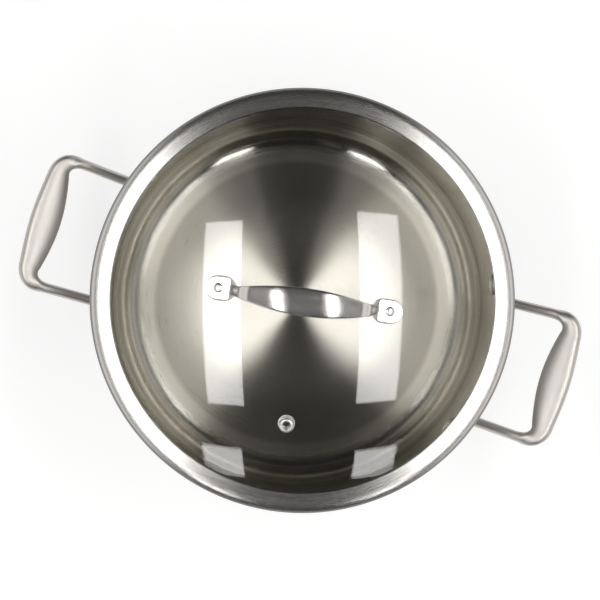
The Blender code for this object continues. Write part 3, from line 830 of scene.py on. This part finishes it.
def strap_section(centre, wide, thin, half_width, half_thickness, crowning):
    """A section with a crowned top, rounded edges and a flat underside."""
    edge = min(0.55 * half_thickness, 0.4 * half_width)
    reach = half_width - edge
    sag = crowning * reach * reach / (2 * STRAP_CROWN_RADIUS)
    tilt = crowning * reach / STRAP_CROWN_RADIUS
    top = half_thickness - sag
    right = []
    for i in range(9):
        across = reach * math.sin(math.pi / 2 * i / 8)
        right.append((across, half_thickness - sag * (across / reach) ** 2))
    for i in range(1, 7):
        angle = between(math.pi / 2 - tilt, -math.pi / 2, i / 6)
        height = between(top - edge, edge - half_thickness, max(0, -math.sin(angle)) ** 0.5)
        right.append((reach + edge * math.cos(angle), height + edge * math.sin(angle)))
    right.append((0, -half_thickness))
    left = [(-x, z) for x, z in right[-2:0:-1]]
    return [centre + wide * x + thin * z for x, z in right + left]


def strap_sections():
    """Sections of half the lid handle, from its tab's round end to the middle of its arch."""
    slope = math.asin(TAB_X / DOME_RADIUS)
    lift = GAP + GASKET_THICKNESS + GAP + TAB_THICKNESS / 2
    rivet = Vector((TAB_X, dome_z(TAB_X))) + Vector((math.sin(slope), math.cos(slope))) * lift
    outward = Vector((math.cos(slope), -math.sin(slope)))
    tip = rivet + outward * TAB_END_BEYOND_RIVET
    foot = tip - outward * (TAB_LENGTH + STRAP_FOOT)
    flat_z = rivet.y + STRAP_RISE - STRAP_THICKNESS / 2
    peak_z = flat_z + CROWN_BEND * (1 / math.cos(CROWN_SLOPE) - 1)
    shoulder = Vector((SHOULDER_X, peak_z - SHOULDER_X * math.tan(CROWN_SLOPE)))
    flat_end = Vector(((peak_z - flat_z) / math.tan(CROWN_SLOPE), flat_z))
    corners = [tip - outward * (TAB_LENGTH + 0.1 * MM), foot, shoulder, flat_end, Vector((0, flat_z))]
    bent = rounded_line(corners, [FOOT_BEND, SHOULDER_BEND, FLAT_BEND], 0.6 * MM)
    rising = spaced([p for p in bent if p.x > 0.2 * MM], 1.0 * MM)
    places = [(tip - outward * distance, half, 0.0) for distance, half in tab_outline()]
    for point in [*rising, Vector((0, rising[-1].y))]:
        lens = STRAP_WIDTH / 2 * math.cos(math.pi / 2 * point.x / STRAP_TAPER)
        steepness = smooth_step((point.y - foot.y) / (5 * MM))
        places.append((point, max(NECK_WIDTH / 2, lens), steepness))
    sections = []
    for i, (point, half, steepness) in enumerate(places):
        along = places[min(i + 1, len(places) - 1)][0] - places[max(i - 1, 0)][0]
        if i == len(places) - 1:
            along = Vector((-1, 0))
        along.normalize()
        depth = between(TAB_THICKNESS, STRAP_THICKNESS, steepness)
        lean = -max(0, point.y - foot.y) * math.tan(STRAP_LEAN)
        centre = Vector((point.x, lean, point.y))
        thin = Vector((-along.y, 0, along.x))
        thin = thin if thin.z > 0 else -thin
        sections.append(strap_section(centre, Vector((0, 1, 0)), thin, half, depth / 2, steepness))
    return sections


def lid_ring(name, node, radius, high, thickness, material, place, hole=RING_HOLE_RADIUS):
    """A flat ring with softened edges, whose top face is at a height above the glass's outer face."""
    soft = 0.15 * MM
    low = high - thickness
    section = []
    for x, y, start in (
        (radius - soft, high - soft, 90),
        (radius - soft, low + soft, 0),
        (hole + soft, low + soft, -90),
        (hole + soft, high - soft, -180),
    ):
        section += arc((x, y), soft, start, start - 90, 3)
    mesh = turned_mesh(name, section, closed=True, count=SMALL_ROUND)
    add_piece(name, mesh, material, "lid", node, place)


def make_outer_gasket(letter, high, place):
    """The clear pad under a tab: straight sides and round ends, longer towards the lid's middle."""
    soft = 0.3 * MM
    sections = []
    layers = ((soft, GAP), (0, GAP + soft), (0, high - soft), (0.3 * soft, high - 0.3 * soft), (soft, high))
    for inset, z in layers:
        radius = GASKET_WIDTH / 2 - inset
        outer = arc((GASKET_OUTWARD - radius - inset, 0), radius, -90, 90, 24)
        inner = arc((radius + inset - GASKET_INWARD, 0), radius, 90, 270, 24)
        sections.append([(x, y, z) for x, y in outer + inner])
    mesh = grid_mesh("outer_gasket", sections, False)
    gasket = add_piece(f"outer_gasket_{letter}", mesh, SILICONE, "lid",
                       f"lid_handle_gasket_{letter}", place)
    drill(gasket, RING_HOLE_RADIUS, 12 * MM, place)


def make_lid_handle():
    half = strap_sections()
    other = [[Vector((-p.x, p.y, p.z)) for p in section] for section in half[-2::-1]]
    mesh = grid_mesh("strap", half + other, False)
    turn = Matrix.Rotation(LID_TURN, 4, "Z")
    handle = add_piece("strap_handle", mesh, STRAP_STEEL, "lid", "lid_handle", turn)
    for letter, direction in (("a", 0), ("b", math.pi)):
        place = on_glass(TAB_X, direction)
        drill(handle, RING_HOLE_RADIUS, 12 * MM, place)
        gasket_high = GAP + GASKET_THICKNESS
        tab_top = gasket_high + GAP + TAB_THICKNESS
        inner_high = -(GLASS_THICKNESS + 1.5 * GAP)
        washer_high = inner_high - GASKET_THICKNESS - GAP
        tail_high = washer_high - WASHER_THICKNESS - GAP
        make_outer_gasket(letter, gasket_high, place)
        lid_ring(f"inner_gasket_{letter}", f"lid_inner_gasket_{letter}", INNER_GASKET_RADIUS, inner_high,
                 GASKET_THICKNESS, SILICONE, place)
        lid_ring(f"inner_washer_{letter}", f"lid_inner_washer_{letter}", WASHER_RADIUS, washer_high,
                 WASHER_THICKNESS, POLISHED, place)
        head = dome(LID_RIVET_HEAD, LID_RIVET_HEAD_HEIGHT, tab_top + TOUCH)
        shank = [(LID_RIVET_RADIUS, tab_top + TOUCH), (LID_RIVET_RADIUS, tail_high)]
        tail_low = tail_high - LID_RIVET_TAIL_HEIGHT
        tail = [(LID_RIVET_TAIL, tail_high), (LID_RIVET_TAIL - 0.4 * MM, tail_low + GAP), (0, tail_low)]
        mesh = turned_mesh("lid_rivet", head + shank + tail, count=SMALL_ROUND)
        add_piece(f"strap_rivet_{letter}", mesh, POLISHED, "lid",
                  f"lid_handle_rivet_{letter}", place)


def make_vent():
    place = on_glass(VENT_X, -math.pi / 2)
    washer_high = -(GLASS_THICKNESS + 1.5 * GAP)
    flare_high = washer_high - VENT_WASHER_THICKNESS - GAP
    outer = VENT_FLANGE_RADIUS
    section = (
        arc((VENT_BORE_RADIUS + 0.6 * MM, VENT_CROWN - 0.6 * MM), 0.6 * MM, 180, 90, 5)
        + arc((outer - 1.3 * MM, VENT_CROWN - 1.3 * MM), 1.3 * MM, 90, 10, 8)
        + [
            (outer - 0.2 * MM, TOUCH),
            (VENT_TUBE_RADIUS, TOUCH),
            (VENT_TUBE_RADIUS, flare_high),
            (outer, flare_high),
            (outer, flare_high - 0.5 * MM),
            (VENT_BORE_RADIUS, flare_high - 0.8 * MM),
        ]
    )
    mesh = turned_mesh("vent", section, closed=True, count=SMALL_ROUND)
    add_piece("steam_vent", mesh, POLISHED, "lid", "vent_eyelet", place)
    lid_ring("vent_inner_washer", "vent_washer", VENT_WASHER_RADIUS, washer_high, VENT_WASHER_THICKNESS,
             POLISHED, place, VENT_TUBE_RADIUS + GAP)


# ---------------------------------------------------------------- stage


def make_floor():
    """A plain pale floor, which glows a little so that it stays even round the pot."""
    mesh = bpy.data.meshes.new("floor")
    size = 6.0
    corners = [(-size, -size, 0), (size, -size, 0), (size, size, 0), (-size, size, 0)]
    mesh.from_pydata(corners, [], [(0, 1, 2, 3)])
    pale = shade(material_nodes("pale_floor"), (0.45, 0.45, 0.445, 1), 0.7, metallic=0.0,
                 Emission_Color=(1, 1, 1, 1), Emission_Strength=FLOOR_GLOW)
    mesh.materials.append(pale)
    floor = bpy.data.objects.new("floor", mesh)
    bpy.context.scene.collection.objects.link(floor)


def in_picture(right, up, height):
    """A point given by its place to the picture's right and up from the pot's axis, and its height."""
    return PICTURE_RIGHT * right + PICTURE_UP * up + Vector((0, 0, height))


def make_camera():
    """The photograph's camera: almost straight over the pot, and a little to its left."""
    data = bpy.data.cameras.new("camera")
    data.lens = CAMERA_LENS
    data.sensor_width = CAMERA_SENSOR
    data.clip_end = 50
    camera = bpy.data.objects.new("camera", data)
    bpy.context.scene.collection.objects.link(camera)
    eye = in_picture(-34.0 * MM, -13.0 * MM, RIM_Z + CAMERA_ABOVE_RIM)
    target = in_picture(-1.8 * MM, 0.1 * MM, RIM_Z)
    back = (eye - target).normalized()
    right = PICTURE_UP.cross(back).normalized()
    up = back.cross(right)
    camera.matrix_world = Matrix((
        (right.x, up.x, back.x, eye.x),
        (right.y, up.y, back.y, eye.y),
        (right.z, up.z, back.z, eye.z),
        (0, 0, 0, 1),
    ))
    bpy.context.scene.camera = camera


def softbox(name, right, up, width, length, radiance, height=LIGHT_HEIGHT, aim=None):
    """A flat soft light. It faces straight down, or the place it is aimed at."""
    data = bpy.data.lights.new(name, "AREA")
    data.shape = "RECTANGLE"
    data.size = width
    data.size_y = length
    data.energy = radiance * math.pi * width * length
    light = bpy.data.objects.new(name, data)
    bpy.context.scene.collection.objects.link(light)
    place = in_picture(right, up, height)
    if aim is None:
        towards = Matrix.Rotation(VIEW_TURN, 4, "Z")
    else:
        towards = (aim - place).to_track_quat("-Z", "Y").to_matrix().to_4x4()
    light.matrix_world = Matrix.Translation(place) @ towards


def make_lights():
    """Two long strips and two small boxes, which the glass mirrors, and a faint light on each side."""
    softbox("strip_left", -0.400, -0.065, 0.215, 1.02, STRIP_RADIANCE)
    softbox("strip_right", 0.452, -0.03, 0.245, 1.06, STRIP_RADIANCE)
    softbox("front_left", -0.46, -1.00, 0.26, 0.24, FRONT_RADIANCE)
    softbox("front_right", 0.50, -1.02, 0.28, 0.24, FRONT_RADIANCE)
    centre = Vector((0, 0, 0.15))
    softbox("side_left", -1.35, 0.0, 1.6, 1.5, 0.16, height=1.2, aim=centre)
    softbox("side_right", 1.35, 0.0, 1.6, 1.5, 0.18, height=1.2, aim=centre)


def make_world():
    """A room that is dark overhead and beyond the pot's far and near sides, and bright left and right."""
    world = bpy.data.worlds.new("studio")
    nodes = Nodes(world)
    direction = nodes.add("ShaderNodeTexCoord")["Generated"]
    height = nodes.add("ShaderNodeSeparateXYZ", {0: direction})["Z"]

    def part_along(axis):
        dot = nodes.add("ShaderNodeVectorMath", {0: direction, 1: axis}, operation="DOT_PRODUCT")["Value"]
        return nodes.maths("ABSOLUTE", dot)

    turn = nodes.maths("ARCTAN2", part_along(PICTURE_RIGHT), part_along(PICTURE_UP))
    sideways = nodes.ramp(turn, 0.50, 0.85)
    low = nodes.ramp(height, 0.70, 0.50)
    glow = nodes.maths("MULTIPLY_ADD", nodes.maths("MULTIPLY", sideways, low), ROOM_GLOW, ROOM_DARK)
    nodes.feed(nodes.tree.nodes["Background"].inputs["Color"], glow)
    bpy.context.scene.world = world
    bpy.context.scene.view_settings.view_transform = "Standard"


make_pot_body()
make_base()
make_side_handles()
make_glass()
make_band()
make_lid_handle()
make_vent()
make_floor()
make_camera()
make_lights()
make_world()
